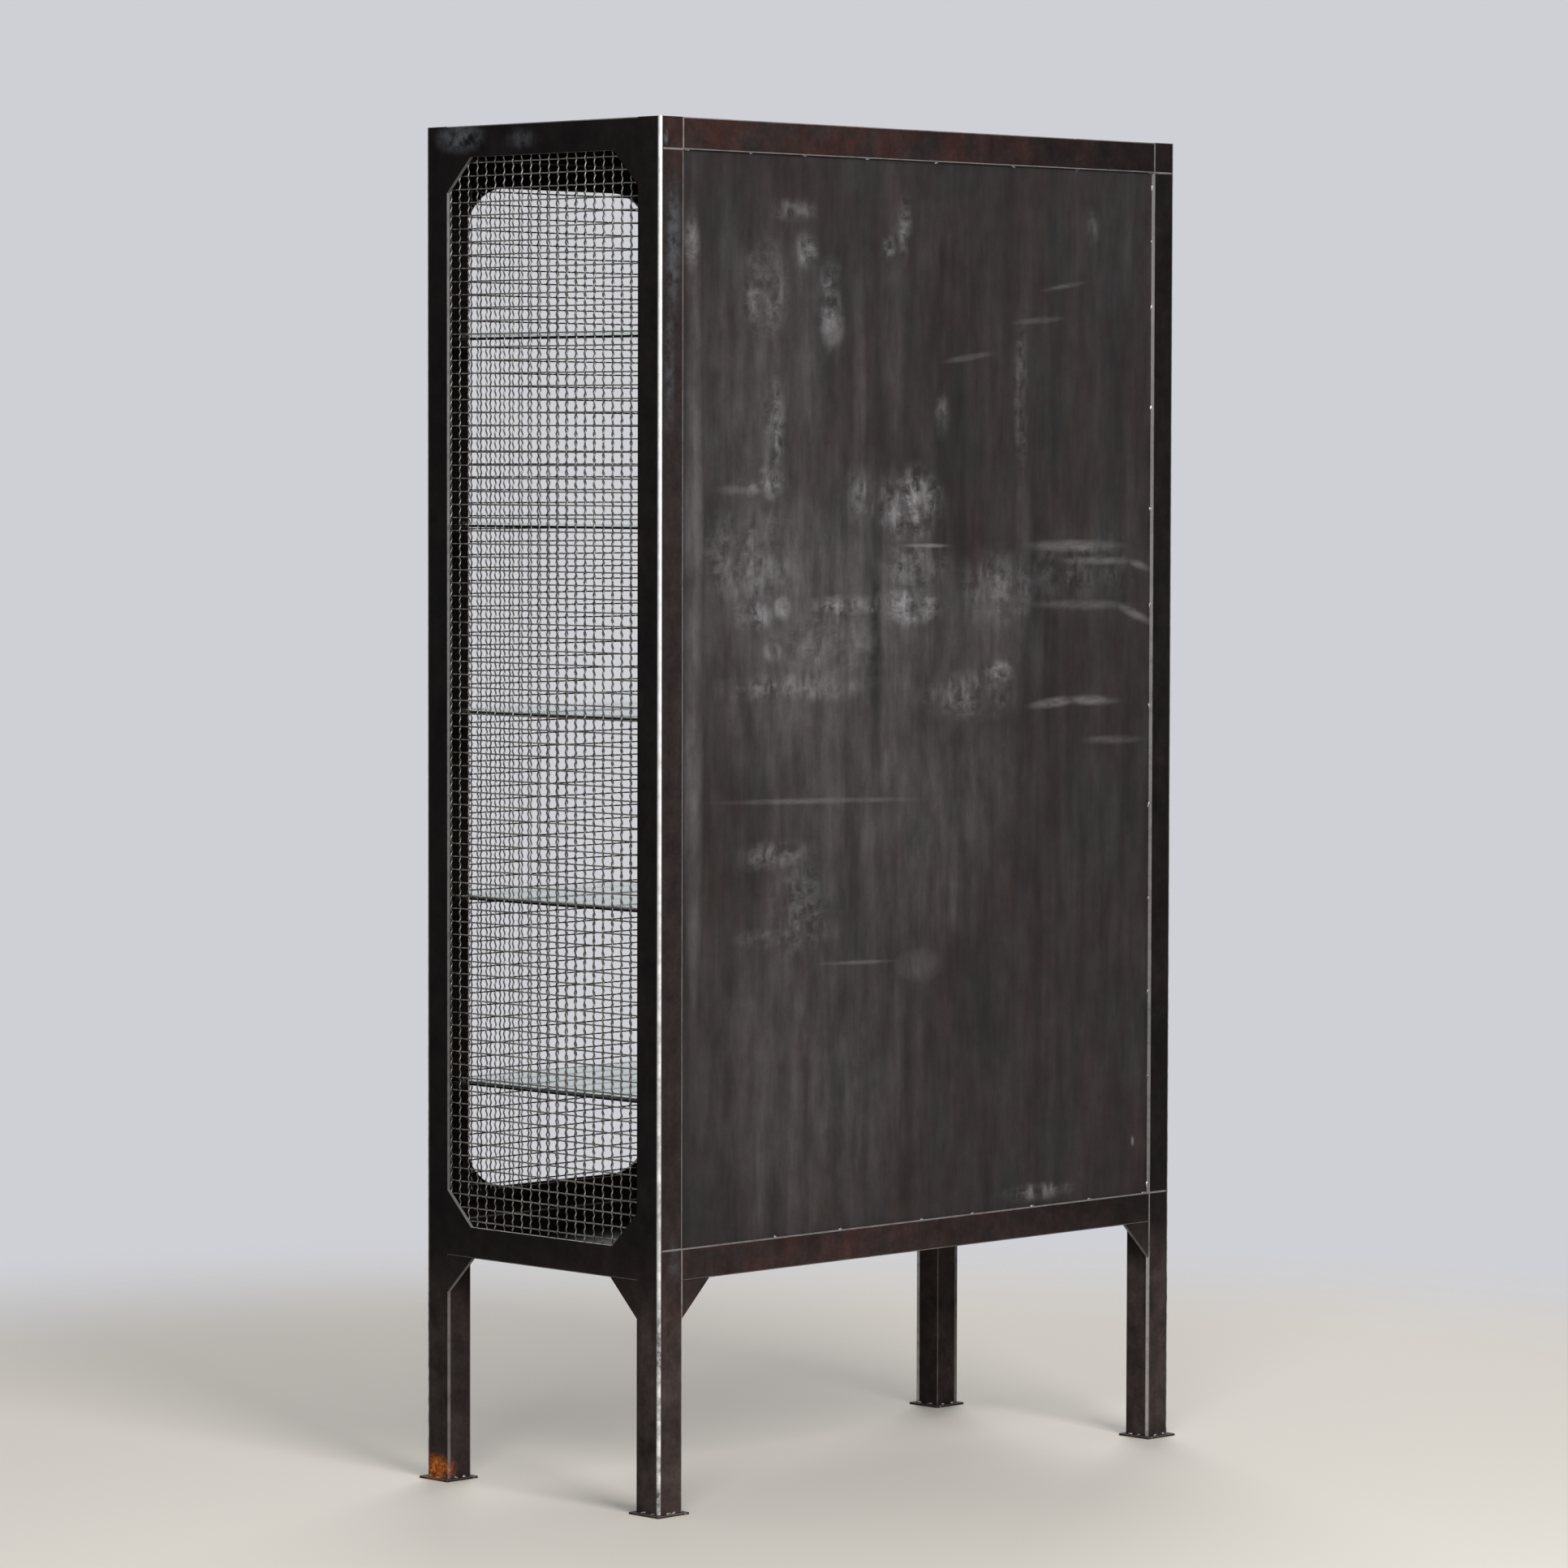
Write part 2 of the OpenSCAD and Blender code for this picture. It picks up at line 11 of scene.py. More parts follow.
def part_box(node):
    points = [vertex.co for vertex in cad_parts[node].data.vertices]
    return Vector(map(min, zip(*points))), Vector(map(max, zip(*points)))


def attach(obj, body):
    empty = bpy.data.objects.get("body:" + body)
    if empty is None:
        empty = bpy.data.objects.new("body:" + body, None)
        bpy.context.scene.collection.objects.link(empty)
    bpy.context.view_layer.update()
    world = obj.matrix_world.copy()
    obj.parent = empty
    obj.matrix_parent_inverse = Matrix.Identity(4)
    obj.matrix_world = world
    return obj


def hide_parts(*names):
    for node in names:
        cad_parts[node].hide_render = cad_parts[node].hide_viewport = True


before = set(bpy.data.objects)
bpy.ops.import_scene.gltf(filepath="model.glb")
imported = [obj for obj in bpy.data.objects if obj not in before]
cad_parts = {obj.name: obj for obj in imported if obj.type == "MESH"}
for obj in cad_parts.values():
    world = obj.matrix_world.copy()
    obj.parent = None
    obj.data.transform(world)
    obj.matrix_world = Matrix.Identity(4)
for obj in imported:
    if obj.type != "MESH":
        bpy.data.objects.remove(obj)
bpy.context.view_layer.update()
mm = 0.001


def hexColour(text):
    # sRGB hex to the linear colour that the shaders take
    channels = [int(text[i : i + 2], 16) / 255 for i in (1, 3, 5)]
    linear = [c / 12.92 if c <= 0.04045 else ((c + 0.055) / 1.055) ** 2.4 for c in channels]
    return (*linear, 1.0)


def addNode(tree, kind, links=None, stops=None, **settings):
    # adds a node; each of its links is a number, a hex colour, a socket or
    # another node, whose result is taken
    node = tree.nodes.new("ShaderNode" + kind)
    for name, value in settings.items():
        setattr(node, name, value)
    for socket, value in (links or {}).items():
        if isinstance(value, bpy.types.Node):
            value = next(result for result in value.outputs if result.enabled)
        if isinstance(value, bpy.types.NodeSocket):
            tree.links.new(value, node.inputs[socket])
        else:
            node.inputs[socket].default_value = hexColour(value) if isinstance(value, str) else value
    if stops:
        marks = node.color_ramp.elements
        while len(marks) < len(stops):
            marks.new(1.0)
        for mark, (place, colour) in zip(marks, stops):
            mark.position = place
            mark.color = hexColour(colour) if isinstance(colour, str) else (colour, colour, colour, 1)
    return node


def startMaterial(name):
    # an empty material, its tree and the object coordinates that its patterns use
    material = bpy.data.materials.new(name)
    material.use_nodes = True
    tree = material.node_tree
    tree.nodes.clear()
    place = addNode(tree, "TexCoord").outputs["Object"]
    return material, tree, place


# The camera stands as far away and looks the same way as the photograph's
cameraView = {
    "place": Vector((5.9137, 5.8891, 1.3268)),
    "yaw": 44.9894,
    "pitch": 2.961,
    "roll": 0.1312,
    "focalPixels": 7768.58,
    "framePixels": 1932,
    "sensor": 36.0,
}


def makeCamera(view):
    yaw, pitch, roll = (math.radians(view[k]) for k in ("yaw", "pitch", "roll"))
    forward = Vector((
        -math.sin(yaw) * math.cos(pitch),
        -math.cos(yaw) * math.cos(pitch),
        -math.sin(pitch),
    ))
    level = forward.cross(Vector((0, 0, 1))).normalized()
    upright = level.cross(forward)
    right = level * math.cos(roll) + upright * math.sin(roll)
    up = upright * math.cos(roll) - level * math.sin(roll)
    data = bpy.data.cameras.new("viewCamera")
    data.sensor_width = view["sensor"]
    data.lens = view["sensor"] * view["focalPixels"] / view["framePixels"]
    data.clip_end = 60
    camera = bpy.data.objects.new("viewCamera", data)
    turn = Matrix((right, up, -forward)).transposed().to_4x4()
    camera.matrix_world = Matrix.Translation(view["place"]) @ turn
    bpy.context.scene.collection.objects.link(camera)
    bpy.context.scene.camera = camera


makeCamera(cameraView)
print("camera placed")


# Plain pale floor and the soft light of a studio
studio = {
    "wallColour": "#cfd0d6",
    "skyColour": "#eceef4",
    "skyStrength": 0.42,
    "floorColour": "#d2ccc2",
    "floorRadius": 2.6,
    "fadeStart": 1.3,
    "fadeEnd": 2.5,
    "lamps": [
        # place, watts, width in metres
        ((1.4, 5.2, 3.4), 290, 2.4),
        ((4.4, 3.4, 3.9), 110, 1.6),
        ((-3.5, -3.0, 3.6), 110, 2.6),
    ],
    "aim": Vector((0, 0, 0.9)),
}


def makeWorld():
    world = bpy.data.worlds.new("studioAir")
    world.use_nodes = True
    tree = world.node_tree
    tree.nodes.clear()
    sky = addNode(tree, "Background", {"Color": studio["skyColour"], "Strength": studio["skyStrength"]})
    wall = addNode(tree, "Background", {"Color": studio["wallColour"], "Strength": 1.0})
    # the wall shows to the camera, straight or by way of metal and glass
    path = addNode(tree, "LightPath").outputs
    seen = addNode(tree, "Math", {0: path["Is Camera Ray"], 1: path["Is Glossy Ray"]}, operation="MAXIMUM")
    seen = addNode(tree, "Math", {0: seen, 1: path["Is Transmission Ray"]}, operation="MAXIMUM")
    mix = addNode(tree, "MixShader", {0: seen, 1: sky, 2: wall})
    addNode(tree, "OutputWorld", {"Surface": mix})
    bpy.context.scene.world = world


def makeFloor():
    # matt painted boards, which fade into the wall's colour away from the cabinet
    material, tree, place = startMaterial("mattPaintedFloor")
    far = addNode(tree, "VectorMath", {0: place}, operation="LENGTH")
    fade = addNode(tree, "MapRange", {
        0: far, 1: studio["fadeStart"], 2: studio["fadeEnd"],
    }, interpolation_type="SMOOTHSTEP")
    paint = addNode(tree, "BsdfPrincipled", {
        "Base Color": studio["floorColour"], "Roughness": 0.7, "Specular IOR Level": 0.2,
    })
    mix = addNode(tree, "MixShader", {0: fade, 1: paint, 2: addNode(tree, "BsdfTransparent")})
    addNode(tree, "OutputMaterial", {"Surface": mix})
    shape = bmesh.new()
    bmesh.ops.create_circle(shape, cap_ends=True, segments=96, radius=studio["floorRadius"])
    mesh = bpy.data.meshes.new("studioFloor")
    shape.to_mesh(mesh)
    shape.free()
    mesh.materials.append(material)
    floor = bpy.data.objects.new("studioFloor", mesh)
    bpy.context.scene.collection.objects.link(floor)


def makeLamps():
    for i, (place, watts, width) in enumerate(studio["lamps"]):
        lamp = bpy.data.lights.new(f"softLamp{i}", "AREA")
        lamp.energy = watts
        lamp.size = width
        holder = bpy.data.objects.new(lamp.name, lamp)
        towards = studio["aim"] - Vector(place)
        holder.location = place
        holder.rotation_euler = towards.to_track_quat("-Z", "Y").to_euler()
        bpy.context.scene.collection.objects.link(holder)


scene = bpy.context.scene
scene.view_settings.view_transform = "Standard"
makeWorld()
makeFloor()
makeLamps()
print("studio lit")


# Patterns that the finishes share, each made of several nodes
def clouds(tree, place, size, low, high, least=0.0, most=1.0, stretch=(1, 1, 1), rough=0.62, detail=6.0):
    # cloudy pattern, its clouds about size across: least where the noise is
    # under low, most where it is over high
    local = addNode(tree, "Mapping", {"Vector": place, "Scale": stretch})
    pattern = addNode(tree, "TexNoise", {
        "Vector": local, "Scale": 1 / size, "Detail": detail, "Roughness": rough,
    })
    return addNode(tree, "MapRange", {0: pattern, 1: low, 2: high, 3: least, 4: most})


def spot(tree, place, middle, half, most=1.0, turn=(0, 0, 0)):
    # most in the middle of a soft oval, nothing outside it
    local = addNode(tree, "Mapping", {
        "Vector": place, "Location": middle, "Rotation": turn, "Scale": half,
    }, vector_type="TEXTURE")
    far = addNode(tree, "VectorMath", {0: local}, operation="LENGTH")
    return addNode(tree, "MapRange", {
        0: far, 1: 1.3, 2: 0.2, 3: 0.0, 4: most,
    }, interpolation_type="SMOOTHSTEP")


def strongest(tree, masks):
    most = masks[0]
    for mask in masks[1:]:
        most = addNode(tree, "Math", {0: most, 1: mask}, operation="MAXIMUM")
    return most


def shaded(tree, colour, shades):
    # a colour darkened and lightened by one pattern after another
    for shade in shades:
        colour = addNode(tree, "Mix", {
            0: 1.0, 6: colour, 7: shade,
        }, data_type="RGBA", blend_type="MULTIPLY")
    return colour


# Where the frame's steel shows bare or stained, in metres
frameMarks = {
    "cutEnds": [
        # which way a bar's sawn end faces, how far it lies from the middle, how bare
        ("X", 0.440, 1.0),
        ("Y", 0.1775, 0.3),
        ("Z", 0.335, 0.8),
        ("Z", 1.710, 0.15),
    ],
    "halfWidth": 0.480,
    "halfDepth": 0.2175,
    "middleY": 0.0165,
    "steel": 0.005,
    "slack": 0.3 * mm,
    "opening": ((0, 0.440), (2, 0.335), (2, 1.710)),  # axis, how far out an edge lies on it
    "line": 0.0012,
    "linePaleness": 0.22,
    "smudges": [
        # middle, half size, how much of the blue-grey
        ((0.48, -0.135, 1.735), (0.02, 0.045, 0.020), 0.9),
        ((0.48, -0.02, 1.730), (0.02, 0.03, 0.014), 0.4),
        ((0.457, 0.234, 1.59), (0.014, 0.02, 0.09), 0.5),
        ((0.464, 0.234, 1.44), (0.010, 0.02, 0.10), 0.35),
        ((0.47, 0.234, 1.725), (0.004, 0.02, 0.010), 1.0),
        ((0.455, 0.234, 0.32), (0.012, 0.02, 0.03), 0.3),
    ],
    "rust": ((0.48, -0.181, 0.015), (0.02, 0.026, 0.018)),
}


def waxedBlackSteel():
    # hot rolled steel, blackened and waxed: nearly black with a soft sheen and a painted
    # sheen on the back's faces, painted shade towards the front, browner where the blackening
    # took thinly, paler on the legs (rubbed, and painted floor light), bare grey on the bars' sawn ends
    # and eased corners
    material, tree, place = startMaterial("waxedBlackSteel")
    x, y, z = addNode(tree, "SeparateXYZ", {0: place}).outputs
    facing = addNode(tree, "TexCoord").outputs["Normal"]
    turned = addNode(tree, "VectorMath", {0: facing}, operation="ABSOLUTE")
    sides = addNode(tree, "SeparateXYZ", {0: turned}).outputs
    base = addNode(tree, "Mix", {
        0: clouds(tree, place, 70 * mm, 0.35, 0.7), 6: "#0f0d0d", 7: "#191615",
    }, data_type="RGBA")
    # painted sheen: the back's faces lighter towards the near corner, where a lamp's reflection falls
    nearCorner = addNode(tree, "MapRange", {0: x, 1: -0.45, 2: 0.1, 3: 0.0, 4: 0.95})
    paintedBackSheen = addNode(tree, "Math", {0: nearCorner, 1: sides[1]}, operation="MULTIPLY")
    base = addNode(tree, "Mix", {0: paintedBackSheen, 6: base, 7: "#262120"}, data_type="RGBA")
    # painted shade and light: the frame darker towards the front, lighter towards the back
    paintedShadeTowardsFront = addNode(tree, "MapRange", {0: y, 1: -0.15, 2: 0.22, 3: 0.72, 4: 1.08})
    # reddish brown on the back's rails, most of it on the top one, with more of it where the painted sheen
    # lies
    rails = addNode(tree, "MapRange", {0: z, 1: 1.66, 2: 1.72, 3: 0.0, 4: 1.0})
    lowRails = addNode(tree, "MapRange", {0: z, 1: 0.40, 2: 0.33, 3: 0.0, 4: 0.6})
    rails = addNode(tree, "Math", {0: rails, 1: lowRails}, operation="MAXIMUM")
    rails = addNode(tree, "Math", {0: rails, 1: paintedBackSheen, 2: 0.1}, operation="MULTIPLY_ADD")
    red = clouds(tree, place, 55 * mm, 0.40, 0.75, most=rails, rough=0.7)
    base = addNode(tree, "Mix", {0: red, 6: base, 7: "#371d18"}, data_type="RGBA")
    # the legs are paler low down: partly rubbed by feet and brooms, partly painted light thrown up from
    # the floor
    legWearAndFloorLight = addNode(tree, "MapRange", {0: z, 1: 0.36, 2: 0.22, 3: 0.0, 4: 0.75})
    legWearAndFloorLight = clouds(tree, place, 45 * mm, 0.30, 0.55, least=0.25, most=legWearAndFloorLight)
    legWearAndFloorLight = addNode(tree, "Math", {
        0: legWearAndFloorLight, 1: addNode(tree, "MapRange", {0: z, 1: 0.36, 2: 0.22}),
    }, operation="MULTIPLY")
    base = addNode(tree, "Mix", {0: legWearAndFloorLight, 6: base, 7: "#3d3431"}, data_type="RGBA")
    colour = shaded(tree, base, [
        paintedShadeTowardsFront,
        clouds(tree, place, 22 * mm, 0.3, 0.7, 0.72, 1.28),
        clouds(tree, place, 6 * mm, 0.3, 0.7, 0.84, 1.16),
        clouds(tree, place, 16 * mm, 0.3, 0.7, 0.85, 1.15, stretch=(1, 1, 0.12)),
    ])
    worn = clouds(tree, place, 14 * mm, 0.36, 0.62, rough=0.7)
    smudges = strongest(tree, [spot(tree, place, *smudge) for smudge in frameMarks["smudges"]])
    smudges = addNode(tree, "Math", {0: smudges, 1: worn}, operation="MULTIPLY")
    colour = addNode(tree, "Mix", {0: smudges, 6: colour, 7: "#5a5c60"}, data_type="RGBA")
    # eased corners: where the face looks along none of the three axes
    ahead = strongest(tree, sides)
    eased = addNode(tree, "MapRange", {0: ahead, 1: 0.99, 2: 0.9, 3: 0.0, 4: 0.22})
    # sawn ends show in the outer thickness of the steel only
    depths = []
    ends = []
    for axis, half, middle in ((x, "halfWidth", 0.0), (y, "halfDepth", frameMarks["middleY"])):
        away = addNode(tree, "Math", {0: axis, 1: middle}, operation="SUBTRACT")
        away = addNode(tree, "Math", {0: away}, operation="ABSOLUTE")
        depths.append(addNode(tree, "Math", {0: frameMarks[half], 1: away}, operation="SUBTRACT"))
        ends.append(away)
    ends.append(z)
    skin = addNode(tree, "Math", {0: depths[0], 1: depths[1]}, operation="MINIMUM")
    thickness = frameMarks["steel"] + frameMarks["slack"]
    skin = addNode(tree, "Math", {0: skin, 1: thickness}, operation="LESS_THAN")
    cuts = []
    for axis, reach, amount in frameMarks["cutEnds"]:
        i = "XYZ".index(axis)
        near = addNode(tree, "Math", {0: ends[i], 1: reach, 2: frameMarks["slack"]}, operation="COMPARE")
        cuts.append(addNode(tree, "MapRange", {
            0: sides[i], 1: 0.9, 2: 0.95, 3: 0.0,
            4: addNode(tree, "Math", {0: near, 1: amount}, operation="MULTIPLY"),
        }))
    cut = addNode(tree, "Math", {0: strongest(tree, cuts), 1: skin}, operation="MULTIPLY")
    # the bars' sawn ends are brighter high up and duller lower down
    brightByHeight = addNode(tree, "MapRange", {0: z, 1: 0.5, 2: 1.3, 3: 0.55, 4: 1.0})
    cut = addNode(tree, "Math", {0: cut, 1: brightByHeight}, operation="MULTIPLY")
    patchy = clouds(tree, place, 20 * mm, 0.25, 0.55, least=0.35, most=1.0, rough=0.7)
    # pale lines along the edges of the back's and front's openings, each running
    # the full length of the bar
    lines = [
        addNode(tree, "Math", {0: ends[i], 1: reach, 2: frameMarks["line"]}, operation="COMPARE")
        for i, reach in frameMarks["opening"]
    ]
    line = addNode(tree, "Math", {0: strongest(tree, lines), 1: sides[1]}, operation="MULTIPLY")
    line = addNode(tree, "Math", {0: line, 1: frameMarks["linePaleness"]}, operation="MULTIPLY")
    bare = addNode(tree, "Math", {0: strongest(tree, [cut, eased, line]), 1: patchy}, operation="MULTIPLY")
    colour = addNode(tree, "Mix", {0: bare, 6: colour, 7: "#dedad6"}, data_type="RGBA")
    # rust where one leg has stood wet
    rust = addNode(tree, "Math", {
        0: spot(tree, place, *frameMarks["rust"]), 1: clouds(tree, place, 9 * mm, 0.30, 0.42),
    }, operation="MULTIPLY")
    rustColour = addNode(tree, "ValToRGB", {0: clouds(tree, place, 5 * mm, 0.0, 1.0)}, stops=[
        (0.35, "#5e2c12"), (0.5, "#a04d1c"), (0.66, "#c08a3c"),
    ])
    colour = addNode(tree, "Mix", {0: rust, 6: colour, 7: rustColour}, data_type="RGBA")
    relief = addNode(tree, "Bump", {
        "Height": clouds(tree, place, 3 * mm, 0.2, 0.8), "Strength": 0.2, "Distance": 0.3 * mm,
    })
    shader = addNode(tree, "BsdfPrincipled", {
        "Base Color": colour,
        "Metallic": addNode(tree, "Math", {0: bare, 1: 0.8}, operation="MULTIPLY"),
        "Roughness": clouds(tree, place, 60 * mm, 0.3, 0.7, 0.42, 0.58),
        "Normal": relief,
        "Specular IOR Level": 0.035,
    })
    addNode(tree, "OutputMaterial", {"Surface": shader})
    return material


def turnedBareSteel():
    # bright mild steel, turned or filed, handled for years: grey with duller,
    # slightly browner patches
    material, tree, place = startMaterial("turnedBareSteel")
    dull = clouds(tree, place, 12 * mm, 0.3, 0.7, rough=0.65)
    tint = addNode(tree, "ValToRGB", {0: dull}, stops=[
        (0.05, "#4b4643"), (0.5, "#7d7a77"), (0.95, "#a3a19e"),
    ])
    relief = addNode(tree, "Bump", {
        "Height": clouds(tree, place, 1.5 * mm, 0.2, 0.8), "Strength": 0.15, "Distance": 0.1 * mm,
    })
    shader = addNode(tree, "BsdfPrincipled", {
        "Base Color": tint,
        "Metallic": 1.0,
        "Roughness": clouds(tree, place, 12 * mm, 0.3, 0.7, 0.5, 0.3),
        "Normal": relief,
    })
    addNode(tree, "OutputMaterial", {"Surface": shader})
    return material


def drawnSteelWire():
    # drawn steel wire, oiled and crimped: grey, with bright glints where each
    # bend turns to the light
    material, tree, place = startMaterial("drawnSteelWire")
    tint = addNode(tree, "Mix", {
        0: clouds(tree, place, 40 * mm, 0.35, 0.65), 6: "#605d57", 7: "#85817a",
    }, data_type="RGBA")
    shader = addNode(tree, "BsdfPrincipled", {
        "Base Color": tint, "Metallic": 1.0, "Roughness": 0.34,
    })
    addNode(tree, "OutputMaterial", {"Surface": shader})
    return material


def floatGlass():
    # clear float glass in thin panes: seen through with a faint grey-green
    # cast, and mirroring the wall where it is seen nearly edge on
    material, tree, place = startMaterial("floatGlass")
    slant = addNode(tree, "LayerWeight", {"Blend": 0.5}).outputs["Facing"]
    steep = addNode(tree, "Math", {0: slant, 1: 5.0}, operation="POWER")
    mirrored = addNode(tree, "MapRange", {0: steep, 3: 0.04, 4: 0.85})
    clear = addNode(tree, "BsdfTransparent", {"Color": "#f0f4f2"})
    gloss = addNode(tree, "BsdfPrincipled", {
        "Base Color": "#dfe8e3", "Roughness": 0.03, "Metallic": 1.0,
    })
    mix = addNode(tree, "MixShader", {0: mirrored, 1: clear, 2: gloss})
    addNode(tree, "OutputMaterial", {"Surface": mix})
    return material


# Marks on the back sheet, in mm from the cabinet's middle and from the floor
sheetMarks = {
    "rubs": [
        # middle, half size, how far the black is rubbed off in dabs
        (27, 1266, 60, 50, 0.75),
        (21, 1186, 70, 34, 0.45),
        (30, 1135, 60, 28, 0.8),
        (146, 1138, 66, 14, 0.7),
        (311, 1128, 36, 20, 0.75),
        (260, 1137, 16, 18, 0.75),
        (173, 1086, 95, 50, 0.3),
        (276, 1365, 20, 65, 0.6),
        (279, 1297, 24, 26, 0.6),
        (324, 1287, 38, 12, 0.35),
        (314, 1202, 85, 70, 0.4),
        (276, 1084, 18, 18, 0.55),
        (230, 1036, 140, 20, 0.4),
        (-141, 1046, 34, 16, 0.7),
        (-90, 1018, 90, 32, 0.35),
        (-141, 1155, 75, 50, 0.35),
        (-150, 1127, 55, 10, 0.45),
        (-184, 1400, 14, 120, 0.25),
        (-34, 1383, 14, 30, 0.45),
        (117, 1279, 36, 36, 0.35),
        (241, 1641, 44, 16, 0.25),
        (221, 1590, 24, 24, 0.5),
        (292, 1540, 40, 60, 0.5),
        (172, 1522, 24, 56, 0.5),
        (38, 1623, 14, 44, 0.35),
        (68, 1597, 14, 16, 0.45),
        (-319, 1636, 20, 24, 0.25),
        (420, 1600, 14, 40, 0.45),
        (271, 822, 76, 20, 0.35),
        (230, 752, 60, 70, 0.25),
        (253, 718, 90, 14, 0.3),
        (-224, 354, 66, 12, 0.5),
        (-300, 1180, 120, 60, 0.15),
    ],
    "veilsAndSheen": [
        # soft grey, partly haze left by the wax, partly painted sheen: the broad ones towards the near
        # corner stand in for a lamp's reflection, the long narrow one by the near edge is a painted
        # highlight
        (190, 1110, 270, 260, 0.75),
        (40, 1080, 180, 200, 0.6),
        (-130, 1080, 120, 140, 0.5),
        (416, 1120, 20, 620, 0.9),
        (280, 1400, 170, 330, 0.5),
        (60, 880, 320, 260, 0.5),
        (210, 560, 280, 320, 0.45),
        (-58, 790, 14, 100, 0.7),
        (11, 670, 60, 30, 0.6),
        (147, 556, 18, 100, 0.6),
        (296, 443, 16, 130, 0.6),
        (60, 1500, 34, 220, 0.35),
        (120, 1400, 18, 220, 0.4),
        (-190, 1150, 26, 260, 0.35),
        (-30, 1620, 200, 110, 0.2),
        (172, 1490, 30, 34, 0.8),
    ],
    "shadows": [
        # upright bands where the black has stayed whole
        (89, 1119, 13, 210, 0.75),
        (-64, 1223, 17, 85, 0.6),
        (330, 1060, 14, 60, 0.4),
        (160, 1255, 24, 60, 0.4),
    ],
    "wipes": [
        # one end, other end, width, how bright: wipes that run across
        ((-200, 1212), (-385, 1210), 7, 0.45),
        ((-270, 1192), (-410, 1190), 5, 0.35),
        ((-395, 1191), (-440, 1178), 5, 0.4),
        ((-210, 1134), (-400, 1131), 6, 0.25),
        ((-370, 1133), (-445, 1106), 6, 0.4),
        ((-200, 1000), (-300, 1007), 6, 0.45),
        ((-270, 1007), (-375, 1003), 6, 0.5),
        ((-310, 952), (-425, 950), 5, 0.25),
        ((38, 1214), (-48, 1213), 2.5, 0.6),
        ((370, 893), (15, 885), 3.5, 0.28),
        ((190, 680), (50, 676), 2.5, 0.28),
        ((-225, 1548), (-310, 1561), 3, 0.22),
        ((-170, 1505), (-265, 1512), 4, 0.2),
        ((-35, 1452), (-130, 1464), 4, 0.22),
        ((255, 1648), (200, 1635), 5, 0.2),
        ((-411, 414), (-411, 400), 3, 0.6),
        ((380, 1287), (295, 1286), 5, 0.2),
    ],
}


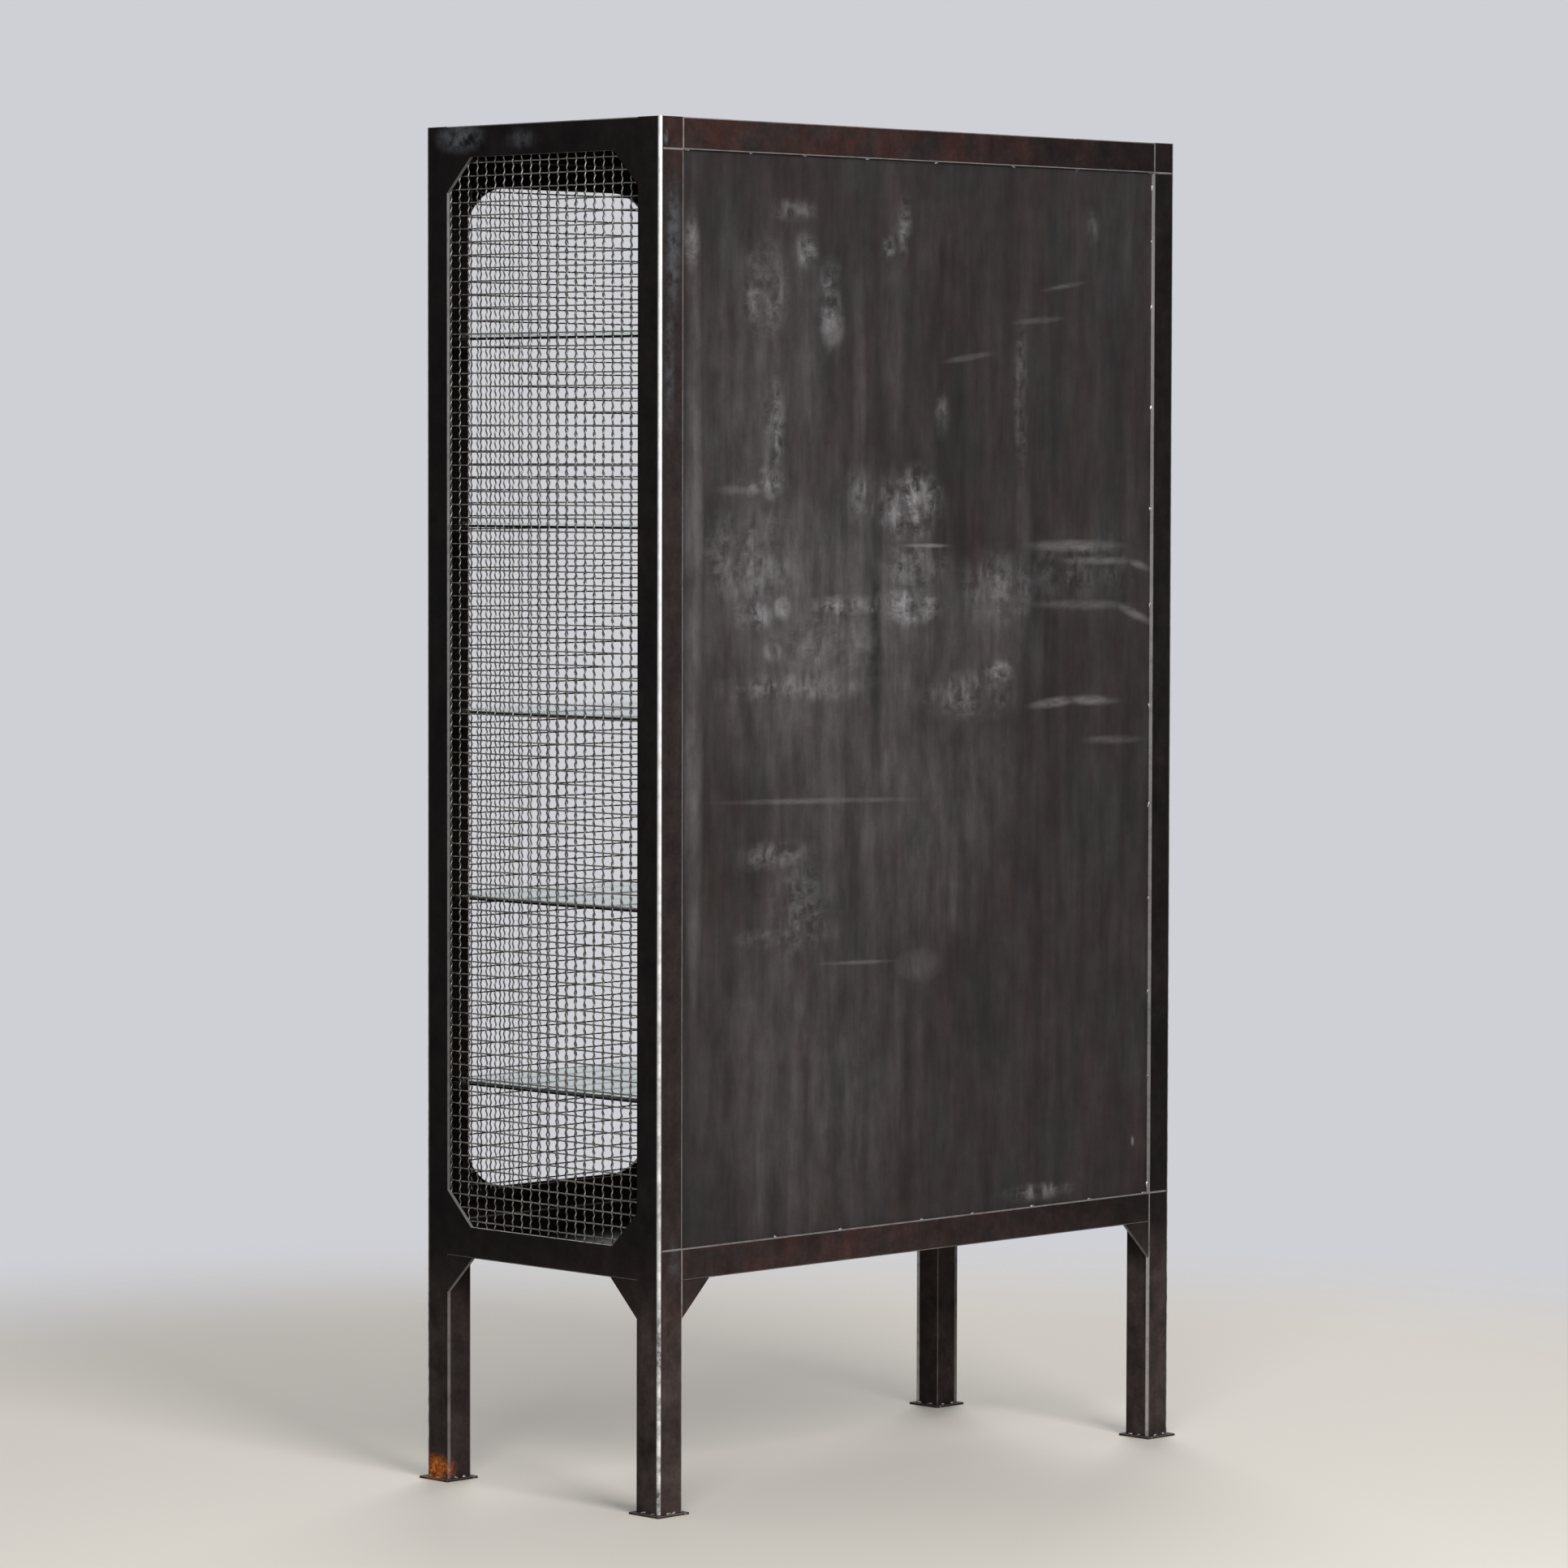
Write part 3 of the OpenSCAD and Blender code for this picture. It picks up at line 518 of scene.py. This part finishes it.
def waxedSheetSteel():
    # blackened cold rolled sheet, waxed by hand: brown-black, brushed up and down by the cloth,
    # with grey dabs where the black has worn thin, and a painted sheen towards the near corner
    material, tree, place = startMaterial("waxedSheetSteel")
    flat = 1e3  # ovals reach through the sheet

    def marks(rows):
        # the strongest of a list of soft ovals on the sheet
        return strongest(tree, [
            spot(tree, place, (x0 * mm, 0, z0 * mm), (a * mm, flat, b * mm), most)
            for x0, z0, a, b, most in rows
        ])

    base = addNode(tree, "Mix", {
        0: clouds(tree, place, 80 * mm, 0.38, 0.62, stretch=(1, 1, 0.5)), 6: "#211a18", 7: "#1e1b1b",
    }, data_type="RGBA")
    # grey haze where the black is thinner, with painted sheen, in soft upright patches
    hazeAndSheen = addNode(tree, "Math", {0: marks(sheetMarks["veilsAndSheen"]), 1: 0.16}, operation="MAXIMUM")
    patches = clouds(tree, place, 38 * mm, 0.34, 0.62, 0.45, 1.0, stretch=(1, 1, 0.35), detail=3.0)
    hazeAndSheenMask = addNode(tree, "Math", {0: hazeAndSheen, 1: patches}, operation="MULTIPLY")
    base = addNode(tree, "Mix", {0: hazeAndSheenMask, 6: base, 7: "#545050"}, data_type="RGBA")
    red = clouds(tree, place, 38 * mm, 0.54, 0.74, most=0.35, rough=0.7)
    base = addNode(tree, "Mix", {0: red, 6: base, 7: "#301c17"}, data_type="RGBA")
    # broad and fine brush marks, most of them upright
    base = shaded(tree, base, [
        clouds(tree, place, 34 * mm, 0.3, 0.7, 0.76, 1.24, stretch=(1, 1, 0.07), detail=3.0),
        clouds(tree, place, 14 * mm, 0.3, 0.7, 0.86, 1.14, stretch=(1, 1, 0.16), detail=2.0),
        clouds(tree, place, 30 * mm, 0.3, 0.7, 0.88, 1.12, detail=4.0),
        clouds(tree, place, 3 * mm, 0.25, 0.75, 0.93, 1.07, detail=2.0),
    ])
    dark = clouds(tree, place, 20 * mm, 0.25, 0.5, most=marks(sheetMarks["shadows"]), stretch=(1, 1, 0.2))
    base = addNode(tree, "Mix", {0: dark, 6: base, 7: "#1a1716"}, data_type="RGBA")
    # dabs of a cloth: short strokes up and across, in blocks
    up = clouds(tree, place, 15 * mm, 0.42, 0.66, stretch=(1, 1, 0.5), detail=3.0)
    across = clouds(tree, place, 15 * mm, 0.44, 0.68, stretch=(0.5, 1, 1), detail=3.0)
    blocks = clouds(tree, place, 28 * mm, 0.40, 0.54, 0.35, 1.0, stretch=(1, 1, 0.35), detail=2.0)
    strokes = addNode(tree, "Math", {0: strongest(tree, [up, across]), 1: blocks}, operation="MULTIPLY")
    rub = addNode(tree, "Math", {0: marks(sheetMarks["rubs"]), 1: strokes}, operation="MULTIPLY")
    colour = addNode(tree, "Mix", {0: rub, 6: base, 7: "#8a8788"}, data_type="RGBA")
    wipes = []
    for (x0, z0), (x1, z1), width, bright in sheetMarks["wipes"]:
        middle = ((x0 + x1) / 2 * mm, 0, (z0 + z1) / 2 * mm)
        half = (math.hypot(x1 - x0, z1 - z0) / 2 * mm, flat, 1.2 * width * mm)
        wipes.append(spot(tree, place, middle, half, bright, (0, -math.atan2(z1 - z0, x1 - x0), 0)))
    streaky = clouds(tree, place, 8 * mm, 0.35, 0.6, 0.35, 0.85, stretch=(0.25, 1, 1))
    wiped = addNode(tree, "Math", {0: strongest(tree, wipes), 1: streaky}, operation="MULTIPLY")
    colour = addNode(tree, "Mix", {0: wiped, 6: colour, 7: "#848080"}, data_type="RGBA")
    relief = addNode(tree, "Bump", {
        "Height": clouds(tree, place, 4 * mm, 0.2, 0.8), "Strength": 0.15, "Distance": 0.3 * mm,
    })
    shader = addNode(tree, "BsdfPrincipled", {
        "Base Color": colour,
        "Roughness": clouds(tree, place, 26 * mm, 0.3, 0.7, 0.42, 0.54),
        "Normal": relief,
        "Specular IOR Level": 0.10,
    })
    addNode(tree, "OutputMaterial", {"Surface": shader})
    return material


def groundWeldSteel():
    # welds ground flush with a disc: bright where rounded over, black where they lie flush
    # with the bars, duller and broken up on the legs, with a painted highlight fading from the top down
    material, tree, place = startMaterial("groundWeldSteel")
    facing = addNode(tree, "TexCoord").outputs["Normal"]
    turned = addNode(tree, "VectorMath", {0: facing}, operation="ABSOLUTE")
    sides = addNode(tree, "SeparateXYZ", {0: turned}).outputs
    height = addNode(tree, "SeparateXYZ", {0: place}).outputs[2]
    least = addNode(tree, "Math", {0: sides[0], 1: sides[1]}, operation="MINIMUM")
    ground = addNode(tree, "MapRange", {0: least, 1: 0.02, 2: 0.22})
    # how bright the weld is from the foot to the top: low down as far as the grinding has stayed bright,
    # higher up a painted highlight fading from the top downwards
    brightByHeight = addNode(tree, "ValToRGB", {
        0: addNode(tree, "MapRange", {0: height, 1: 0.0, 2: 1.0}),
    }, stops=[
        (0.0, 0.3), (0.08, 0.6), (0.17, 0.6), (0.19, 0.35),
        (0.23, 0.4), (0.27, 0.75), (0.6, 0.8), (0.88, 1.0),
    ])
    patchy = clouds(tree, place, 14 * mm, 0.35, 0.6, rough=0.7)
    brightByHeight = addNode(tree, "MapRange", {0: brightByHeight, 1: 0.3, 2: 1.0, 3: patchy, 4: 1.0})
    strength = addNode(tree, "Math", {0: ground, 1: brightByHeight}, operation="MULTIPLY")
    tint = addNode(tree, "Mix", {
        0: clouds(tree, place, 14 * mm, 0.3, 0.7), 6: "#bab7b2", 7: "#e6e4e0",
    }, data_type="RGBA")
    colour = addNode(tree, "Mix", {0: strength, 6: "#171515", 7: tint}, data_type="RGBA")
    shader = addNode(tree, "BsdfPrincipled", {
        "Base Color": colour,
        "Metallic": addNode(tree, "Math", {0: strength, 1: 0.9}, operation="MULTIPLY"),
        "Roughness": 0.5,
        "Specular IOR Level": 0.3,
    })
    addNode(tree, "OutputMaterial", {"Surface": shader})
    return material


def weldBeadSteel():
    # beads left as they froze: silver grey ripples with soot in the hollows
    material, tree, place = startMaterial("weldBeadSteel")
    tint = addNode(tree, "ValToRGB", {0: clouds(tree, place, 4 * mm, 0.3, 0.7)}, stops=[
        (0.1, "#3a3634"), (0.5, "#8b8682"), (0.9, "#c3bfba"),
    ])
    shader = addNode(tree, "BsdfPrincipled", {"Base Color": tint, "Metallic": 0.85, "Roughness": 0.42})
    addNode(tree, "OutputMaterial", {"Surface": shader})
    return material


finish = {
    "frame_steel": waxedBlackSteel(),
    "sheet_steel": waxedSheetSteel(),
    "bare_steel": turnedBareSteel(),
    "wire": drawnSteelWire(),
    "weld": groundWeldSteel(),
    "glass": floatGlass(),
}
finish["door_steel"] = finish["frame_steel"]
print("finishes made")


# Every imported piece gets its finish. The frame's own bars meet in welds that
# are ground flush, so only the loose pieces get an eased edge.
edges = {"width": 0.5 * mm, "segments": 2, "limit": 35}
looseNodes = ("foot_", "shelf_", "latch", "bolt_", "handle")


def dressNodes():
    for name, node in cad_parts.items():
        slot = node.data.materials[0].name.split(".")[0]
        node.data.materials[0] = finish[slot]
        if slot == "glass":
            node.visible_shadow = False  # light passes through
        if name.startswith(looseNodes):
            weld = node.modifiers.new("joinEdges", "WELD")
            weld.merge_threshold = 0.01 * mm
            bevel = node.modifiers.new("easedEdges", "BEVEL")
            bevel.width = edges["width"]
            bevel.segments = edges["segments"]
            bevel.limit_method = "ANGLE"
            bevel.angle_limit = math.radians(edges["limit"])
            bevel.harden_normals = True


dressNodes()
print("packed pieces dressed")


# Woven steel wire with an extra crimp between crossings, as the sides show it
weave = {
    "wire": 2.1 * mm,
    "swing": 1.05 * mm,
    "pitch": 16.8 * mm,
    "wave": 11.2 * mm,
    "sides": 6,
    "ringsPerWave": 5,
}


def crimpedWire(shape, length, phase, offset):
    # one wire along Z from the origin up, waving along Y
    before = len(shape.verts)
    bmesh.ops.create_cone(
        shape, cap_ends=True, cap_tris=False, segments=weave["sides"],
        radius1=weave["wire"] / 2, radius2=weave["wire"] / 2, depth=length,
    )
    shape.verts.ensure_lookup_table()
    ends = shape.verts[before:]
    bmesh.ops.translate(shape, verts=ends, vec=(offset, 0, length / 2))
    long = {e for v in ends for e in v.link_edges if e.calc_length() > length / 2}
    rings = round(length / weave["wave"] * weave["ringsPerWave"])
    bmesh.ops.subdivide_edges(shape, edges=list(long), cuts=rings - 1)
    shape.verts.ensure_lookup_table()
    for vert in shape.verts[before:]:
        vert.co.y += weave["swing"] * math.cos(math.tau * vert.co.z / weave["wave"] + phase)


def wovenLayer(name, length, count, toPlace, phase):
    # two wires of opposite swing, repeated by an array
    shape = bmesh.new()
    crimpedWire(shape, length, phase, 0)
    crimpedWire(shape, length, phase + math.pi, weave["pitch"])
    for face in shape.faces:
        face.smooth = len(face.verts) == 4
    mesh = bpy.data.meshes.new(name)
    shape.to_mesh(mesh)
    shape.free()
    mesh.transform(toPlace)
    mesh.materials.append(finish["wire"])
    piece = bpy.data.objects.new(name, mesh)
    bpy.context.scene.collection.objects.link(piece)
    rows = piece.modifiers.new("repeat", "ARRAY")
    rows.count = count // 2
    rows.use_relative_offset = False
    rows.use_constant_offset = True
    rows.constant_offset_displace = toPlace.to_3x3() @ Vector((2 * weave["pitch"], 0, 0))
    return piece


def wovenNet(node, body, across):
    # a net in the place of its packed stand-in; across is the net's level axis
    low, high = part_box(node)
    size = high - low
    middle = (low + high) / 2
    level = Vector((0, 1, 0)) if across == "Y" else Vector((1, 0, 0))
    depth = Vector((1, 0, 0)) if across == "Y" else Vector((0, 1, 0))
    up = Vector((0, 0, 1))
    width = size.dot(level)
    height = size.z
    pitch = weave["pitch"]
    uprights = int((width - weave["wire"]) / pitch / 2) * 2
    levels = int((height - weave["wire"]) / pitch / 2) * 2
    firstUpright = middle - level * (uprights - 1) * pitch / 2 - up * height / 2
    firstLevel = middle - up * (levels - 1) * pitch / 2 - level * width / 2
    # the wires swing apart where they cross
    startUp = (firstLevel - firstUpright).dot(up)
    startAcross = (firstUpright - firstLevel).dot(level)
    turnUp = Matrix((level, depth, up)).transposed().to_4x4()
    turnAcross = Matrix((up, depth, level)).transposed().to_4x4()
    phaseUp = -math.tau * startUp / weave["wave"]
    phaseAcross = math.pi - math.tau * startAcross / weave["wave"]
    placeUp = Matrix.Translation(firstUpright) @ turnUp
    placeAcross = Matrix.Translation(firstLevel) @ turnAcross
    pieces = [
        wovenLayer(node + "_uprights", height, uprights, placeUp, phaseUp),
        wovenLayer(node + "_levels", width, levels, placeAcross, phaseAcross),
    ]
    for piece in pieces:
        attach(piece, body)
    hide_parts(node)


wovenNet("side_mesh_right", "cabinet", "Y")
wovenNet("side_mesh_left", "cabinet", "Y")
wovenNet("door_mesh_right", "door_right", "X")
wovenNet("door_mesh_left", "door_left", "X")
print("nets woven")


# Tack welds round the back sheet and on the foot plates, in mm
tackWelds = {
    "length": 4.4,
    "radius": 1.9,
    "lean": 0.5,  # radians either way
    "lumps": 0.35,
    "lumpScale": 1.7,
    "seed": 7,
    "opening": (440, 335, 1710),  # half width, lower and upper edge of the back's opening
    "bottom": (269, 151, 0, -96, -212, -326, -435),
    "top": (429, 317, 222, 107, -21, -166, -292, -436),
    "farSide": (1690, 1619, 1531, 1396, 1258, 1130, 994, 862, 734, 609, 492, 346),
    "nearSide": (1700, 1524, 1380, 1210, 1045, 900, 742, 560, 350),
    "sheet": 229,
    "footTop": 3,
    "legHalf": 20.3,
    "legSteps": (-9, 6),
    "drift": 4,
}


def weldLump(shape, place, along, lean, size, seed):
    # one lumpy bead, long along its own X, sunk to its middle in the corner
    before = len(shape.verts)
    bmesh.ops.create_icosphere(shape, subdivisions=2, radius=1.0)
    shape.verts.ensure_lookup_table()
    mine = shape.verts[before:]
    turn = along @ Matrix.Rotation(lean, 4, "Y")
    for vert in mine:
        lump = noise.noise(vert.co * tackWelds["lumpScale"] + Vector((seed, 3 * seed, 0)))
        rough = 1 + tackWelds["lumps"] * lump
        vert.co = turn @ Vector((vert.co.x * size[0], vert.co.y * size[1], vert.co.z * size[1])) * rough
    bmesh.ops.translate(shape, verts=mine, vec=place)


def makeTackWelds():
    marks = tackWelds
    draw = random.Random(marks["seed"])
    opening = marks["opening"]
    drift = marks["drift"]
    levelX = Matrix.Identity(4)
    uprightZ = Matrix.Rotation(math.pi / 2, 4, "Y")
    levelY = Matrix.Rotation(math.pi / 2, 4, "Z")
    spots = [((x, marks["sheet"], opening[1]), levelX) for x in marks["bottom"]]
    spots += [((x, marks["sheet"], opening[2]), levelX) for x in marks["top"]]
    spots += [((-opening[0], marks["sheet"], z), uprightZ) for z in marks["farSide"]]
    spots += [((opening[0], marks["sheet"], z), uprightZ) for z in marks["nearSide"]]
    # two beads on each side of each leg, where it stands on its plate
    for foot in ("foot_front_right", "foot_front_left", "foot_back_right", "foot_back_left"):
        low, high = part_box(foot)
        centre = (low + high) / 2 / mm
        for side, along in ((Vector((1, 0, 0)), levelY), (Vector((0, 1, 0)), levelX)):
            for sign in (1, -1):
                for step in marks["legSteps"]:
                    run = Vector((side.y, side.x, 0)) * (step + draw.uniform(-drift, drift))
                    place = centre + side * sign * marks["legHalf"] + run
                    spots.append(((place.x, place.y, marks["footTop"]), along))
    shape = bmesh.new()
    for i, (place, along) in enumerate(spots):
        grown = draw.uniform(0.8, 1.25)
        size = (marks["length"] * mm * grown, marks["radius"] * mm * draw.uniform(0.85, 1.15))
        lean = draw.uniform(-marks["lean"], marks["lean"])
        weldLump(shape, Vector(place) * mm, along, lean, size, i)
    for face in shape.faces:
        face.smooth = True
    mesh = bpy.data.meshes.new("tack_welds")
    shape.to_mesh(mesh)
    shape.free()
    mesh.materials.append(weldBeadSteel())
    piece = bpy.data.objects.new("tack_welds", mesh)
    bpy.context.scene.collection.objects.link(piece)
    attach(piece, "cabinet")
    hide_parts("weld_beads")


makeTackWelds()
print("tack welds laid")
